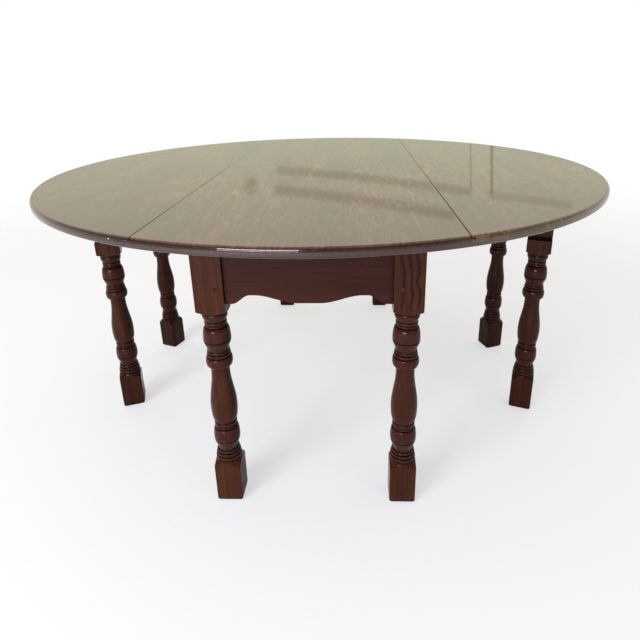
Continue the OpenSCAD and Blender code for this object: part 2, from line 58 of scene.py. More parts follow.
class Graph:
    """A small wrapper that adds nodes to one node tree and joins them."""

    def __init__(self, tree):
        self.tree = tree
        self.tree.nodes.clear()

    def add(self, kind, inputs=None, **settings):
        node = self.tree.nodes.new(kind)
        for key, value in settings.items():
            setattr(node, key, value)
        for key, value in (inputs or {}).items():
            if isinstance(value, bpy.types.NodeSocket):
                self.tree.links.new(value, node.inputs[key])
            else:
                node.inputs[key].default_value = value
        return node

    def math(self, operation, *values, clamp=False):
        inputs = dict(enumerate(values))
        return self.add("ShaderNodeMath", inputs, operation=operation, use_clamp=clamp).outputs[0]

    def noise(self, vector, scale, detail=2.0, rough=0.5, distortion=0.0):
        inputs = {
            "Vector": vector, "Scale": scale, "Detail": detail,
            "Roughness": rough, "Distortion": distortion,
        }
        return self.add("ShaderNodeTexNoise", inputs).outputs["Fac"]

    def ramp(self, value, stops):
        """Colours blended from stop to stop, each stop given as its place and colour."""
        node = self.add("ShaderNodeValToRGB", {"Fac": value})
        ramp = node.color_ramp
        ramp.interpolation = "LINEAR"
        while len(ramp.elements) < len(stops):
            ramp.elements.new(0.5)
        for element, (place, colour) in zip(ramp.elements, stops):
            element.position = place
            element.color = (*colour, 1)
        return node.outputs["Color"]

    def level(self, value, low, high, smooth=False):
        """Value stretched so that low becomes 0 and high becomes 1."""
        kind = "SMOOTHSTEP" if smooth else "LINEAR"
        inputs = {"Value": value, "From Min": low, "From Max": high}
        return self.add("ShaderNodeMapRange", inputs, interpolation_type=kind).outputs["Result"]

    def mix(self, share, first, second):
        """The first colour where the share is 0, and the second where it is 1."""
        node = self.add("ShaderNodeMix", data_type="RGBA", blend_type="MIX")
        for socket, value in ((node.inputs[0], share), (node.inputs[6], first), (node.inputs[7], second)):
            if isinstance(value, bpy.types.NodeSocket):
                self.tree.links.new(value, socket)
            elif isinstance(value, (int, float)):
                socket.default_value = value
            else:
                socket.default_value = (*value, 1)
        return node.outputs[2]


def new_material(name):
    material = bpy.data.materials.new(name)
    material.use_nodes = True
    return material, Graph(material.node_tree)


def oak(name, grain, colours, seed=0.0, polish=0.3, specular=0.3, coat=0.0, coat_rough=0.1,
        crevice=0.02, relief=0.25, streak=0.45, ring=0.16, patch=None):
    """Stained oak. grain is the turn that brings the grain direction onto Z; colours go dark to light."""
    material, g = new_material(name)
    place = g.add("ShaderNodeTexCoord").outputs["Object"]
    turned = g.add("ShaderNodeMapping", {"Vector": place, "Rotation": grain,
                                         "Location": (seed, seed * 0.37, seed * 0.71)}).outputs[0]
    along = g.add("ShaderNodeMapping", {"Vector": turned, "Scale": (1, 1, 0.035)}).outputs[0]
    wide = g.add("ShaderNodeMapping", {"Vector": turned, "Scale": (1, 1, 0.16)}).outputs[0]

    fibre = g.noise(along, 330, 3, 0.6)
    band = g.noise(along, 62, 3, 0.6, 0.4)
    cloud = g.noise(wide, 9, 3, 0.55)
    # growth rings round a pith that wanders along the board
    wander = g.noise(wide, 5, 2, 0.5)
    bent = g.add("ShaderNodeVectorMath", {0: along, 1: g.math("MULTIPLY", wander, 0.05)},
                 operation="ADD").outputs[0]
    rings = g.add("ShaderNodeTexWave", {
        "Vector": bent, "Scale": 26, "Distortion": 2.2, "Detail": 2, "Detail Scale": 1.6,
    }, wave_type="RINGS", rings_direction="Z", wave_profile="SAW").outputs["Fac"]
    pores = g.level(g.noise(along, 820, 1, 0.4), 0.60, 0.72)
    pores = g.math("MULTIPLY", pores, g.level(rings, 0.35, 0.9))

    tone = g.math("MULTIPLY", band, streak)
    tone = g.math("ADD", tone, g.math("MULTIPLY", fibre, 0.18))
    tone = g.math("ADD", tone, g.math("MULTIPLY", rings, ring))
    tone = g.math("ADD", tone, g.math("MULTIPLY", cloud, 0.34))
    dark, mid, light = colours
    colour = g.ramp(tone, [(0.34, dark), (0.55, mid), (0.78, light)])
    colour = g.mix(g.math("MULTIPLY", pores, 0.6), colour, [c * 0.25 for c in dark])
    if patch:
        colour = patch(g, place, turned, colour)
    # polish and dirt left in the crevices, with painted shade there: darker where ambient occlusion finds a
    # hollow
    hidden = g.add("ShaderNodeAmbientOcclusion", {"Distance": crevice}, samples=6).outputs["AO"]
    crevice_dirt_and_shade = g.level(hidden, 0.42, 0.92)
    colour = g.mix(g.math("SUBTRACT", 1, crevice_dirt_and_shade), colour, [c * 0.15 for c in dark])

    gloss = g.math("ADD", polish, g.math("MULTIPLY", g.math("SUBTRACT", cloud, 0.5), 0.14))
    gloss = g.math("ADD", gloss, g.math("MULTIPLY", pores, 0.15), clamp=True)
    height = g.math("SUBTRACT", g.math("MULTIPLY", fibre, 0.6), pores)
    bump = g.add("ShaderNodeBump", {"Height": height, "Strength": relief, "Distance": 0.0004}).outputs[0]
    shader = g.add("ShaderNodeBsdfPrincipled", {
        "Base Color": colour, "Roughness": gloss, "Normal": bump, "IOR": 1.5,
        "Specular IOR Level": specular, "Coat Weight": coat, "Coat Roughness": coat_rough,
    })
    g.add("ShaderNodeOutputMaterial", {"Surface": shader.outputs[0]})
    return material


def metal(name, colour, tarnish, rough):
    """Old metal with a brushed face and darker tarnish in clouds."""
    material, g = new_material(name)
    place = g.add("ShaderNodeTexCoord").outputs["Object"]
    brushed = g.add("ShaderNodeMapping", {"Vector": place, "Scale": (1, 0.06, 1)}).outputs[0]
    lines = g.noise(brushed, 900, 2, 0.5)
    clouds = g.level(g.noise(place, 60, 4, 0.6), 0.35, 0.7)
    face = g.mix(clouds, colour, tarnish)
    face = g.mix(g.math("MULTIPLY", lines, 0.35), face, [c * 0.5 for c in tarnish])
    # painted shade: the hollows go nearly black where ambient occlusion finds them
    hidden = g.add("ShaderNodeAmbientOcclusion", {"Distance": 0.004}, samples=4).outputs["AO"]
    face = g.mix(g.math("SUBTRACT", 1, g.level(hidden, 0.3, 0.95)), face, (0.01, 0.008, 0.006))
    gloss = g.math("ADD", rough, g.math("MULTIPLY", clouds, 0.2))
    bump = g.add("ShaderNodeBump", {"Height": lines, "Strength": 0.15, "Distance": 0.0002}).outputs[0]
    shader = g.add("ShaderNodeBsdfPrincipled", {
        "Base Color": face, "Metallic": 0.9, "Roughness": gloss, "Normal": bump,
    })
    g.add("ShaderNodeOutputMaterial", {"Surface": shader.outputs[0]})
    return material


GRAIN_X = (0, math.radians(90), 0)
GRAIN_Y = (math.radians(90), 0, 0)
GRAIN_Z = (0, 0, 0)

LEG_COLOURS = ((0.019, 0.0044, 0.0016), (0.044, 0.0116, 0.0038), (0.090, 0.0275, 0.0075))
RAIL_COLOURS = ((0.026, 0.0066, 0.0042), (0.058, 0.0146, 0.0088), (0.094, 0.026, 0.0155))
TOP_COLOURS = ((0.034, 0.013, 0.007), (0.078, 0.034, 0.017), (0.15, 0.070, 0.032))
PLAIN_COLOURS = ((0.05, 0.022, 0.011), (0.11, 0.052, 0.026), (0.19, 0.10, 0.052))
WARM_FLECK = (0.54, 0.27, 0.10)
# near black, for dirt and painted shade in the joints of the top and the creases of the legs
SEAM_DIRT_AND_SHADE = (0.006, 0.004, 0.003)
RIM_DARK = (0.014, 0.0040, 0.0030)
RIM_OLIVE = (0.055, 0.044, 0.022)
RIM_WORN = (0.20, 0.095, 0.035)
RAW_WOOD = (0.62, 0.52, 0.40)
TURNED_TINT = (0.036, 0.0090, 0.0072)
# how light each pair of legs is, against the front pair: painted shade, darker copies of one wood for the
# legs further back and under the top
LEG_SHADE_TONES = {"leg_front": 1.0, "leg_rear": 0.75, "gate_leg_front": 0.75, "gate_leg_rear": 0.65}
# pale chips on the rim: angle round the top in degrees, depth below its face and radius in mm
CHIPS = ((-115.6, 8, 1.6), (-112.4, 1, 2.0), (-67.6, 1, 2.6), (-71.4, 4, 1.2))
# the dark lines up the front right block, off its middle in mm
WAVES = (-17, 2, 19)


def paint(piece, material):
    """Gives a piece one material all over."""
    piece.data.materials.clear()
    piece.data.materials.append(material)
    for polygon in piece.data.polygons:
        polygon.material_index = 0


# ---------- sizes, from the frame ----------

MM = 0.001
# rule joint, in mm: its upright lip, the gap there, the gap in the cove and the step beside the cove
LIP = 4
LEAF_GAP = 1
COVE_GAP = 0.5
COVE_STEP = 0.4
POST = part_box("leg_front_right")
LEG_HALF = (POST[1].x - POST[0].x) / 2
LEG_X = (POST[1].x + POST[0].x) / 2
LEG_Y = -(POST[1].y + POST[0].y) / 2
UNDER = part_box("centre_board")[0].z
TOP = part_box("centre_board")[1].z
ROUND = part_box("right_leaf")[1].x
JOINTS = {j["name"]: j for j in frame["joints"]}
AXIS_X = JOINTS["right_leaf_hinge"]["pos_m"][0]
AXIS_Z = JOINTS["right_leaf_hinge"]["pos_m"][2]
PIVOT = JOINTS["gate_rear_right_swing"]["pos_m"]
GATE_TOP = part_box("gate_leg_rear_right")[1].z


def foot_of(name):
    """Middle and corner distance of a leg's square foot, from its points on the floor."""
    node = frame["nodes"][name]
    points = [v.co for v in node.data.vertices if v.co.z < 0.1 * MM]
    middle = (min(points, key=lambda p: p.x) + max(points, key=lambda p: p.x)) / 2
    return middle, max((p - middle).length for p in points)


FOOT_HALF = foot_of("leg_front_right")[1] / math.sqrt(2)
GATE_FOOT = foot_of("gate_leg_rear_right")[0]
GATE_OUT = math.hypot(GATE_FOOT.x - PIVOT[0], GATE_FOOT.y - PIVOT[1])
GATE_REACH = math.sqrt(GATE_OUT ** 2 - (LEG_X - PIVOT[0]) ** 2)


# ---------- marks of age on one material ----------

def aged_top(g, place, turned, colour):
    """Warm flecks on the face, a dark rim that is worn on one leaf, and pale chips beside the joints."""
    grain = g.add("ShaderNodeMapping", {"Vector": turned, "Scale": (1, 1, 0.2)}).outputs[0]
    region = g.level(g.noise(grain, 7.5, 3, 0.55), 0.34, 0.58)
    fleck = g.level(g.noise(grain, 105, 4, 0.65, 0.6), 0.50, 0.68)
    warm = g.math("MULTIPLY", region, g.math("ADD", g.math("MULTIPLY", fleck, 0.8), 0.12))
    # the front has less of them, and the far side more
    depth = g.level(g.add("ShaderNodeSeparateXYZ", {0: place}).outputs["Y"], -0.75, -0.05)
    warm = g.math("MULTIPLY", warm, g.math("ADD", g.math("MULTIPLY", depth, 0.8), 0.2))
    colour = g.mix(warm, colour, WARM_FLECK)
    parts = g.add("ShaderNodeSeparateXYZ", {0: place}).outputs
    face = g.level(parts["Z"], TOP - 4 * MM, TOP - 1 * MM)
    rightward = g.level(parts["X"], AXIS_X - 60 * MM, AXIS_X + 60 * MM)
    rim = g.mix(rightward, RIM_DARK, RIM_OLIVE)
    rubbed = g.level(g.noise(place, 22, 3, 0.6), 0.56, 0.66)
    high = g.level(parts["Z"], UNDER + 6 * MM, TOP - 5 * MM)
    rubbed = g.math("MULTIPLY", g.math("MULTIPLY", rubbed, rightward), high)
    rim = g.mix(rubbed, rim, RIM_WORN)
    rim = g.mix(0.12, rim, colour)
    colour = g.mix(g.math("SUBTRACT", 1, face), colour, rim)
    # dirt and painted shade along the open line of the rule joints
    colour = g.mix(g.math("MULTIPLY", joint_line(g, parts), 0.9), colour, SEAM_DIRT_AND_SHADE)
    ragged = g.math("MULTIPLY", g.noise(place, 400, 2, 0.5), 2 * MM)
    for angle, depth, size in CHIPS:
        turn = math.radians(angle)
        middle = (ROUND * math.cos(turn), ROUND * math.sin(turn), TOP - depth * MM)
        away = g.add("ShaderNodeVectorMath", {0: place, 1: middle}, operation="DISTANCE").outputs["Value"]
        chip = g.math("SUBTRACT", 1, g.level(g.math("ADD", away, ragged), size * MM, (size + 1.5) * MM))
        colour = g.mix(chip, colour, RAW_WOOD)
    return colour


def joint_line(g, parts):
    """1 along the open line of both rule joints: their upright lip and the round below it."""
    across = g.math("SUBTRACT", g.math("ABSOLUTE", parts["X"]), AXIS_X)
    lip_z = TOP - LIP * MM
    lip = g.math("ABSOLUTE", g.math("SUBTRACT", across, LEAF_GAP / 2 * MM))
    lip = g.math("SUBTRACT", 1, g.level(lip, 1.3 * MM, 2.6 * MM))
    lip = g.math("MULTIPLY", lip, g.level(parts["Z"], lip_z - 1 * MM, lip_z))
    above = g.math("SUBTRACT", parts["Z"], AXIS_Z)
    away = g.math("SQRT", g.math("ADD", g.math("POWER", across, 2), g.math("POWER", above, 2)))
    arc = g.math("ABSOLUTE", g.math("SUBTRACT", away, lip_z - AXIS_Z))
    arc = g.math("SUBTRACT", 1, g.level(arc, 0.8 * MM, 2 * MM))
    outside = g.math("MULTIPLY", g.level(across, -1 * MM, 0), g.level(above, -2 * MM, 0))
    return g.math("MAXIMUM", lip, g.math("MULTIPLY", arc, outside))


def turned_wood(g, place, turned, colour):
    """The rings and bulbs are a shade more purple than the vase, and every crease gets a dark line of dirt
    and painted shade.
    """
    height = g.add("ShaderNodeSeparateXYZ", {0: place}).outputs["Z"]
    low = g.level(height, (FOOT_Z + 8) * MM, (FOOT_NECK_Z + 6) * MM)
    high = g.level(height, (BLOCK_NECK_Z - 12) * MM, BLOCK_NECK_Z * MM)
    begun, ended = [g.level(height, z0 * MM, z1 * MM) for z0, z1 in (VASE_IN, VASE_OUT)]
    vase = g.math("SUBTRACT", begun, ended)
    share = g.math("MULTIPLY", g.math("SUBTRACT", low, high), 0.55)
    share = g.math("MULTIPLY", share, g.math("SUBTRACT", 1, g.math("MULTIPLY", vase, 0.85)))
    colour = g.mix(share, colour, TURNED_TINT)
    # dirt and painted shade: a dark line at every crease and scribed line
    away = 1.0
    for z in CREASES + SCRIBES:
        away = g.math("MINIMUM", g.math("ABSOLUTE", g.math("SUBTRACT", height, z * MM)), away)
    dirt_and_shade = g.math("SUBTRACT", 1, g.level(away, 0.7 * MM, 2.1 * MM, smooth=True))
    return g.mix(g.math("MULTIPLY", dirt_and_shade, 0.85), colour, SEAM_DIRT_AND_SHADE)


def wavy_block(g, place, turned, colour):
    """Dark wavy lines up the front of the right block, above its turned part."""
    colour = turned_wood(g, place, turned, colour)
    parts = g.add("ShaderNodeSeparateXYZ", {0: place}).outputs
    sway = g.math("MULTIPLY", g.math("SUBTRACT", g.noise(place, 13, 2, 0.5), 0.5), 46 * MM)
    across = g.math("ADD", parts["X"], sway)
    above = g.level(parts["Z"], BLOCK_NECK_Z * MM, (BLOCK_Z + 30) * MM)
    for offset in WAVES:
        away = g.math("ABSOLUTE", g.math("SUBTRACT", across, LEG_X + offset * MM))
        line = g.math("SUBTRACT", 1, g.level(away, 1.4 * MM, 5.5 * MM, smooth=True))
        colour = g.mix(g.math("MULTIPLY", g.math("MULTIPLY", line, above), 0.9), colour,
                       [c * 0.6 for c in LEG_COLOURS[0]])
    return colour


def peg_end(g, place, turned, colour):
    """The pegs of the left legs have gone darker than those of the right ones."""
    across = g.add("ShaderNodeSeparateXYZ", {0: place}).outputs["X"]
    return g.mix(g.level(across, -0.1, 0.1), [c * 0.5 for c in LEG_COLOURS[0]], colour)


# ---------- mesh helpers ----------

def build(name, points, faces, body, nodes, material):
    """A new piece from points and faces, riding on a body in place of its CAD node."""
    mesh = bpy.data.meshes.new(name)
    mesh.from_pydata(points, [], faces)
    edit = bmesh.new()
    edit.from_mesh(mesh)
    bmesh.ops.remove_doubles(edit, verts=edit.verts, dist=0.02 * MM)
    bmesh.ops.dissolve_degenerate(edit, edges=edit.edges, dist=0.01 * MM)
    bmesh.ops.recalc_face_normals(edit, faces=edit.faces)
    edit.to_mesh(mesh)
    edit.free()
    piece = bpy.data.objects.new(name, mesh)
    bpy.context.scene.collection.objects.link(piece)
    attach(piece, body)
    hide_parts(*nodes)
    paint(piece, material)
    return piece


def box(low, high):
    """Points and outward faces of a box."""
    points = [(x, y, z) for x in (low[0], high[0]) for y in (low[1], high[1]) for z in (low[2], high[2])]
    faces = [(0, 1, 3, 2), (4, 6, 7, 5), (0, 4, 5, 1), (2, 3, 7, 6), (0, 2, 6, 4), (1, 5, 7, 3)]
    return points, faces


def cut(piece, shapes):
    """Takes closed shapes, which don't touch each other, out of a piece."""
    points, faces = [], []
    for shape_points, shape_faces in shapes:
        first = len(points)
        points += shape_points
        faces += [[first + i for i in face] for face in shape_faces]
    mesh = bpy.data.meshes.new("cutter")
    mesh.from_pydata(points, [], faces)
    edit = bmesh.new()
    edit.from_mesh(mesh)
    bmesh.ops.recalc_face_normals(edit, faces=edit.faces)
    edit.to_mesh(mesh)
    edit.free()
    cutter = bpy.data.objects.new("cutter", mesh)
    bpy.context.scene.collection.objects.link(cutter)
    modifier = piece.modifiers.new("cut", "BOOLEAN")
    modifier.operation = "DIFFERENCE"
    modifier.solver = "EXACT"
    modifier.object = cutter
    bpy.context.view_layer.update()
    seen = piece.evaluated_get(bpy.context.evaluated_depsgraph_get())
    result = bpy.data.meshes.new_from_object(seen)
    piece.modifiers.remove(modifier)
    piece.data = result
    bpy.data.objects.remove(cutter)


def shade(piece, angle):
    """Smooth faces, with sharp edges where two faces meet at more than the angle."""
    edit = bmesh.new()
    edit.from_mesh(piece.data)
    for face in edit.faces:
        face.smooth = True
    for edge in edit.edges:
        meet = edge.calc_face_angle(0)
        edge.smooth = meet < math.radians(angle)
    edit.to_mesh(piece.data)
    edit.free()


# ---------- top boards ----------

# Rim of the top, as height above the underside and inset from the round, both in mm:
# small bevel below, flat band, a narrow ledge and the rounded upper edge
RIM = [(0, 2.2), (0.5, 1.3), (1.2, 0.6), (2.2, 0.15), (3, 0), (8, 0), (13.2, 0), (13.8, 0.15), (14.1, 0.5),
       (14.2, 1.1), (14.5, 1.3)]
# how far in the rounded upper edge reaches, how far the upper edges along the joints are eased, and how
# close two heights are to count as one, all in mm
RIM_ROUND = 5.4
EASED = 0.9
SAME = 0.01


def rim_rows():
    """The rim from the underside up, as height and inset in mm."""
    rows = list(RIM)
    low = rows[-1][0]
    height = (TOP - UNDER) / MM - low
    for i in range(1, 11):
        turn = math.radians(9 * i)
        rows.append((low + height * math.sin(turn), RIM[-1][1] + RIM_ROUND * (1 - math.cos(turn))))
    # the rule joint's lip starts at this height, so the rim needs a row there to meet it
    lip = (TOP - UNDER) / MM - LIP
    rows.append((lip, rim_inset(rows, lip)))
    return sorted(rows)


def rim_inset(rows, height):
    """Inset of the rim at a height."""
    for (h0, i0), (h1, i1) in zip(rows, rows[1:]):
        if h0 <= height <= h1 and h1 > h0:
            return i0 + (i1 - i0) * (height - h0) / (h1 - h0)
    return rows[-1][1]


class Board:
    """A board of the round top, symmetric about y = 0, made of columns from its one side to the other."""

    def __init__(self, side):
        self.side = side
        self.rows = rim_rows()
        self.points = []
        self.faces = []
        self.columns = []

    def column(self, x, low=0.0, high=None, angle=None):
        """A column of the rim at a given x, or at an angle round the rim, between two heights in mm."""
        high = (TOP - UNDER) / MM if high is None else high
        front, rear = [], []
        for height, _ in self.rows:
            height = min(max(height, low), high)
            radius = ROUND - rim_inset(self.rows, height) * MM
            if angle is None:
                across, depth = x, math.sqrt(max(radius * radius - x * x, 0))
            else:
                across, depth = radius * math.cos(angle), radius * math.sin(angle)
            z = UNDER + height * MM
            front.append(len(self.points))
            self.points.append((self.side * across, -depth, z))
            rear.append(len(self.points))
            self.points.append((self.side * across, depth, z))
        self.columns.append({"x": x, "front": front, "rear": rear, "low": low, "high": high})

    def wall(self, column, low, high):
        """A flat upright face across the board, between two heights of one column."""
        picked = [i for i in range(len(self.rows)) if low - SAME < self.height(column, i) < high + SAME]
        chain, seen = [], set()
        for i in picked:
            key = round(self.height(column, i), 4)
            if key not in seen:
                seen.add(key)
                chain.append(i)
        front = [column["front"][i] for i in chain]
        rear = [column["rear"][i] for i in reversed(chain)]
        if len(chain) > 1:
            self.faces.append(front + rear)

    def height(self, column, i):
        return (self.points[column["front"][i]][2] - UNDER) / MM

    def close(self):
        """Joins the columns with faces, and walls up the steps and the two ends."""
        last = len(self.rows) - 1
        for a, b in zip(self.columns, self.columns[1:]):
            if a["x"] is not None and a["x"] == b["x"]:
                wide = a if a["high"] - a["low"] > b["high"] - b["low"] else b
                thin = b if wide is a else a
                if wide["low"] < thin["low"]:
                    self.wall(wide, wide["low"], thin["low"])
                if wide["high"] > thin["high"]:
                    self.wall(wide, thin["high"], wide["high"])
                continue
            for end in ("front", "rear"):
                for i in range(last):
                    self.faces.append([a[end][i], b[end][i], b[end][i + 1], a[end][i + 1]])
            for i in (0, last):
                self.faces.append([a["front"][i], b["front"][i], b["rear"][i], a["rear"][i]])
        self.wall(self.columns[0], self.columns[0]["low"], self.columns[0]["high"])
        if self.columns[-1]["x"] is not None:
            self.wall(self.columns[-1], self.columns[-1]["low"], self.columns[-1]["high"])


# Where the hinges sit along a joint, and the beds cut for them, from the CAD model's own pieces
HINGES = [(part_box(f"leaf_flap_{place}_right")[0].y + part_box(f"leaf_flap_{place}_right")[1].y) / 2
          for place in ("front", "middle", "rear")]
FLAP_HALF = (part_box("leaf_flap_middle_right")[1].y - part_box("leaf_flap_middle_right")[0].y) / 2
LEAF_FLAP_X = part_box("leaf_flap_middle_right")[1].x
CENTRE_FLAP_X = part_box("centre_flap_middle_right")[0].x
WIRE_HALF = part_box("hinge_pin_middle_right")[1].y
BED = 2 * MM
CHANNEL = 3.5 * MM
BELOW = UNDER - 1 * MM
# room at the wire's ends, room round a leaf's flap, and how far past the axis its slot in the round side goes
WIRE_ROOM = 0.8 * MM
FLAP_ROOM = 0.3 * MM
CROSSING = 16 * MM


def sided(sign, near, far, y0, y1, top):
    """A box below a height, between two distances from the middle on one side."""
    low, high = sorted((sign * near, sign * far))
    return box((low, y0, BELOW), (high, y1, top))


def channel(sign, y, half):
    """Round-topped channel for the barrels of one hinge."""
    outline = [(-CHANNEL, BELOW), (CHANNEL, BELOW)]
    outline += [(CHANNEL * math.cos(t), AXIS_Z + CHANNEL * math.sin(t))
                for t in [math.pi * i / 12 for i in range(13)]]
    count = len(outline)
    points = [(sign * AXIS_X + x, y + end, z) for end in (-half, half) for x, z in outline]
    faces = [list(range(count)), list(range(2 * count - 1, count - 1, -1))]
    faces += [[i, (i + 1) % count, (i + 1) % count + count, i + count] for i in range(count)]
    return points, faces


def round_side(sign, steps=10):
    """Place and height of the columns over the convex round of a rule joint, outwards in."""
    radius = TOP - LIP * MM - AXIS_Z
    pin = (AXIS_Z - UNDER) / MM
    for i in range(steps + 1):
        turn = math.radians(90 * i / steps)
        x = AXIS_X + radius * math.cos(turn)
        yield sign * x, pin + radius / MM * math.sin(turn)


def make_centre_board(material):
    board = Board(1)
    for x, high in round_side(-1):
        board.column(x, 0, high)
    inner = 38
    flat = AXIS_X - EASED * MM
    board.column(-AXIS_X, 0, (TOP - UNDER) / MM - EASED)
    for i in range(inner + 1):
        board.column(-flat + 2 * flat * i / inner)
    board.column(AXIS_X, 0, (TOP - UNDER) / MM - EASED)
    for x, high in reversed(list(round_side(1))):
        board.column(x, 0, high)
    for a, b in zip(board.columns, board.columns[1:]):
        if abs(a["x"] - b["x"]) < 1e-9:
            b["x"] = a["x"]
    board.close()
    piece = build("centre_board_top", board.points, board.faces, "frame", ["centre_board"],
                  material)
    places = [(sign, y) for sign in (-1, 1) for y in HINGES]
    cut(piece, [sided(s, CENTRE_FLAP_X, AXIS_X, y - FLAP_HALF, y + FLAP_HALF, UNDER + BED)
                for s, y in places])
    cut(piece, [channel(s, y, WIRE_HALF + WIRE_ROOM) for s, y in places])
    # the leaf's flap crosses the round side here
    reach = FLAP_HALF + FLAP_ROOM
    cut(piece, [sided(s, AXIS_X, AXIS_X + CROSSING, y - reach, y + reach, AXIS_Z + FLAP_ROOM)
                for s, y in places])
    finish_board(piece)


def make_leaf(name, side, material):
    board = Board(SIDES[side])
    gap = LEAF_GAP * MM
    cove = TOP - LIP * MM - AXIS_Z + COVE_GAP * MM
    pin = (AXIS_Z - UNDER) / MM
    start = math.asin(gap / cove)
    steps = 10
    for i in range(steps + 1):
        turn = start + (math.pi / 2 - start) * i / steps
        board.column(AXIS_X + cove * math.sin(turn), pin + cove / MM * math.cos(turn),
                     (TOP - UNDER) / MM - (EASED if i == 0 else 0))
    wall_x = AXIS_X + cove + COVE_STEP * MM
    board.column(wall_x, pin)
    board.column(wall_x)
    board.column(wall_x + 6 * MM)
    first = math.acos((wall_x + 14 * MM) / ROUND)
    steps = 96
    for i in range(steps + 1):
        board.column(None, angle=first * (1 - i / steps))
    board.close()
    piece = build(name + "_top", board.points, board.faces, name, [name], material)
    sign = SIDES[side]
    cut(piece, [sided(sign, AXIS_X + 5 * MM, LEAF_FLAP_X, y - FLAP_HALF, y + FLAP_HALF, UNDER + BED)
                for y in HINGES])
    finish_board(piece)


def finish_board(piece):
    """Smooth rim and joint, flat faces above and below."""
    shade(piece, 35)
    for polygon in piece.data.polygons:
        if abs(polygon.normal.z) > 0.9999:
            polygon.use_smooth = False


# ---------- legs ----------

def ease(share):
    """A share from 0 to 1 that starts and ends gently."""
    return (1 - math.cos(math.pi * share)) / 2


def blend(z0, r0, z1, r1, n=14):
    """A curve that is upright at both ends."""
    return [(r0 + (r1 - r0) * ease(i / n), z0 + (z1 - z0) * i / n) for i in range(n + 1)]


def bead(z0, z1, r0, r1, n=12):
    """A round ring that swells from one radius to another and back."""
    return [(r0 + (r1 - r0) * math.sin(math.pi * i / n), z0 + (z1 - z0) * ease(i / n)) for i in range(n + 1)]


def rise(z0, r0, z1, r1, n=14):
    """A quarter round that is upright at its upper end."""
    turns = [math.pi / 2 * i / n for i in range(n + 1)]
    return [(r0 + (r1 - r0) * math.sin(t), z0 + (z1 - z0) * (1 - math.cos(t))) for t in turns]


def fall(z0, r0, z1, r1, n=14):
    """A quarter round that is upright at its lower end."""
    turns = [math.pi / 2 * i / n for i in range(n + 1)]
    return [(r1 + (r0 - r1) * math.cos(t), z0 + (z1 - z0) * math.sin(t)) for t in turns]


# Turned outline between the foot and the upper block, as radius and height in mm. All heights and radii
# of a leg are in mm
SPINDLE = (
    bead(122.5, 132, 30.5, 32)
    + bead(132.5, 141.5, 28.8, 30.2)
    + bead(142, 150.5, 26.6, 28.2)
    + blend(151.5, 25.2, 184, 32.2, 20)
    + fall(187, 32.2, 213, 27.4)
    + bead(214, 219.5, 26.2, 27.2)
    + bead(220.5, 230.5, 26, 27.7)
    + [(25.4, 231.5)]
    + rise(233, 25.4, 274, 32.3, 20)
    + blend(276, 32.3, 370, 22.2, 30)
    + [(22.2, 384), (24.6, 385)]
    + rise(385.5, 25, 400, 31.6)
    + fall(400, 31.6, 412.5, 28.2)
    + bead(413.5, 421, 27.2, 28.3)
    + bead(422, 429, 25.6, 27)
    + blend(430, 25.2, 457, 32.3, 20)
    + fall(461, 32.3, 491, 25.4, 20)
    + bead(491.5, 497, 24.8, 25.9)
    + bead(498, 506, 24.6, 26.1)
    + blend(507, 25.4, 519, 29.3)
    + [(29.3, 524.5), (28.2, 527)]
)
# heights of the creases between the rings
CREASES = (122.5, 132.2, 141.8, 151, 213.5, 220, 231, 384.5, 413, 421.5, 429.5, 491.2, 497.5, 506.5, 526)
# heights over which the colour of the vase fades in and out
VASE_IN = (236, 268)
VASE_OUT = (345, 378)
# heights of the two scribed lines, and their groove as distance from its middle and depth
SCRIBES = (178, 455.5)
SCRIBE_CUT = ((-1.6, 0), (-0.7, 1.2), (0, 1.6), (0.7, 1.1), (1.6, 0))
# the rounded lower edge of a foot, as height and inset, and the height up to which its rows are level
FOOT_BOTTOM = ((0, 6.5), (0.6, 4.8), (1.5, 3.3), (3, 1.75), (5, 0.6), (8, 0))
FOOT_FLAT_Z = 80
# heights where the corners of the foot begin to fall away, where its faces end and where the turning
# begins, and the radius of the crease there
FOOT_Z = 99
FOOT_SHOULDER_Z = 119.5
FOOT_NECK_Z = 122.5
NECK_R = 28
# height and radius at which the upper block begins, and the height where it is fully square
BLOCK_NECK_Z = 527
BLOCK_NECK_R = 29.3
BLOCK_Z = 541
# the notch of a gate leg, and the easing of the arrises
NOTCH_Z = 576
NOTCH_X = -9
ARRIS = 2.2
FOOT_ARRIS = 4.5


def scribed(outline):
    """The outline with a narrow groove cut at each scribed line."""
    reach = SCRIBE_CUT[-1][0]
    cut_out = [p for p in outline if all(abs(p[1] - line) > reach for line in SCRIBES)]
    for line in SCRIBES:
        cut_out += [(radius_at(outline, line + off) - depth, line + off) for off, depth in SCRIBE_CUT]
    return sorted(cut_out, key=lambda p: p[1])


def square_radius(angle, half, arris=ARRIS):
    """Distance from the middle of the post to its face, with its four arrises eased."""
    turn = abs((angle + math.pi / 4) % (math.pi / 2) - math.pi / 4)
    along, aside = math.cos(turn), math.sin(turn)
    centre = half - arris
    if half * aside / along <= centre:
        return half / along
    reach = (along + aside) * centre
    return reach + math.sqrt(max(reach * reach - 2 * centre * centre + arris * arris, 0))


def inverse(curve, radius):
    """Height at which a falling or rising (radius, height) curve has the radius."""
    for (r0, z0), (r1, z1) in zip(curve, curve[1:]):
        if min(r0, r1) <= radius <= max(r0, r1) and r0 != r1:
            return z0 + (z1 - z0) * (radius - r0) / (r1 - r0)
    return curve[0][1] if abs(curve[0][0] - radius) < abs(curve[-1][0] - radius) else curve[-1][1]


def leg_angles(notched):
    """Directions of a leg's points round its axis, closer together at its four arrises."""
    angles = [2 * math.pi * i / 64 for i in range(64) if i % 16 != 8]
    for corner in range(4):
        middle = math.pi / 4 + corner * math.pi / 2
        angles += [middle + math.radians(d) for d in (-3.6, -2.7, -1.8, -0.9, 0, 0.9, 1.8, 2.7, 3.6)]
    if notched:
        for y in (-1, 1):
            angles.append(math.atan2(y * LEG_HALF / MM, NOTCH_X) % (2 * math.pi))
    return sorted(angles)


